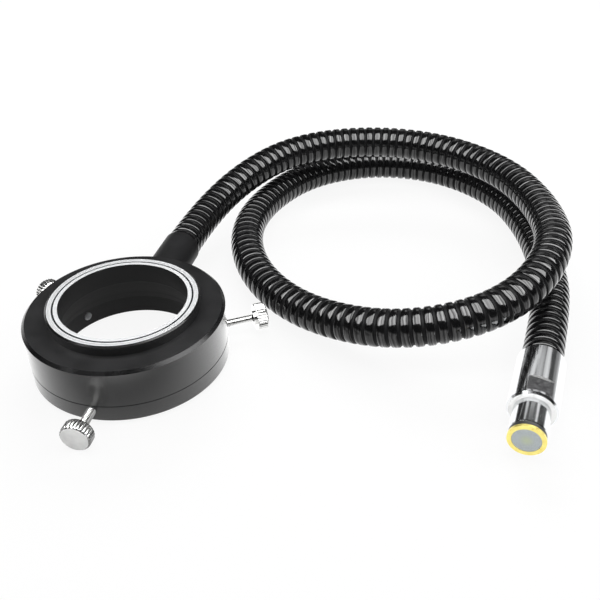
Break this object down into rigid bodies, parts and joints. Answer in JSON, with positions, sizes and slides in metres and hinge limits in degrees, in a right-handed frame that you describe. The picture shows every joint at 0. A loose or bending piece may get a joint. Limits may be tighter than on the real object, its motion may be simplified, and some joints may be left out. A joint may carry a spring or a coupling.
{
  "type": "ring light guide",
  "caption": "Fibre-optic ring light guide: an annular light head with knurled clamp screws, a ribbed flexible hose and a plated source ferrule.",
  "frame": {"origin": "on the ring's axis at its mounting face, 1.5 mm above the table that its three knobs stand on", "axes": "+Z along the ring's axis towards the light slit; -Z is the way a microscope leaves the bore; the hose leaves the ring towards +Y"},
  "size_m": [0.2682, 0.2589, 0.0436],
  "materials": {
    "black_anodised": "satin black anodising",
    "bare_aluminium": "fine turned and ground",
    "black_steel": "black oxide",
    "glass_fibre": "polished fibre ends",
    "nickel_plate": "bright nickel plate",
    "nylon": "white nylon",
    "black_sleeving": "matt black sleeving",
    "black_vinyl": "glossy black vinyl",
    "chrome_plate": "polished chrome plate",
    "black_rubber": "black rubber",
    "brass": "ground brass"
  },
  "bodies": {
    "root": {"upper_housing": "black_anodised", "mounting_ring": "black_anodised", "housing_screws": "black_steel", "inner_sleeve": "black_anodised", "nose_ring": "bare_aluminium", "fibre_annulus": "glass_fibre", "fibre_fan": "glass_fibre", "neck_spigot": "bare_aluminium", "neck_sleeve": "black_sleeving", "hose": "black_vinyl", "fibre_bundle": "glass_fibre", "hose_insert": "bare_aluminium", "source_ferrule": "chrome_plate", "tip_ferrule": "chrome_plate", "groove_ring": "black_rubber", "brass_end_ring": "brass", "fibre_face": "glass_fibre"},
    "tip_right": {"thumbscrew_tip_right": "nylon"},
    "screw_right": {"thumbscrew_right": "nickel_plate"},
    "tip_left": {"thumbscrew_tip_left": "nylon"},
    "screw_left": {"thumbscrew_left": "nickel_plate"},
    "tip_front": {"thumbscrew_tip_front": "nylon"},
    "screw_front": {"thumbscrew_front": "nickel_plate"}
  },
  "joints": [
    {"name": "screw_travel_right", "type": "slide", "parent": "root", "child": "tip_right", "axis": [-0.9483, -0.3173, 0], "range_m": [-0.0014, 0.0126]},
    {"name": "screw_turn_right", "type": "hinge", "parent": "tip_right", "child": "screw_right", "pos_m": [0.05519, 0.01847, 0.005], "axis": [-0.9483, -0.3173, 0], "range_deg": [-720, 6480]},
    {"name": "screw_travel_left", "type": "slide", "parent": "root", "child": "tip_left", "axis": [0.749, -0.6626, 0], "range_m": [-0.0007, 0.0168]},
    {"name": "screw_turn_left", "type": "hinge", "parent": "tip_left", "child": "screw_left", "pos_m": [-0.04673, 0.04135, 0.005], "axis": [0.749, -0.6626, 0], "range_deg": [-360, 8640]},
    {"name": "screw_travel_front", "type": "slide", "parent": "root", "child": "tip_front", "axis": [0.1994, 0.9799, 0], "range_m": [-0.0049, 0.0091]},
    {"name": "screw_turn_front", "type": "hinge", "parent": "tip_front", "child": "screw_front", "pos_m": [-0.01091, -0.0536, 0.005], "axis": [0.1994, 0.9799, 0], "range_deg": [-2520, 4680]}
  ],
  "couplings": [
    {"joint": "screw_travel_right", "follows": "screw_turn_right", "m_per_rad": 0.00011141},
    {"joint": "screw_travel_left", "follows": "screw_turn_left", "m_per_rad": 0.00011141},
    {"joint": "screw_travel_front", "follows": "screw_turn_front", "m_per_rad": 0.00011141}
  ]
}
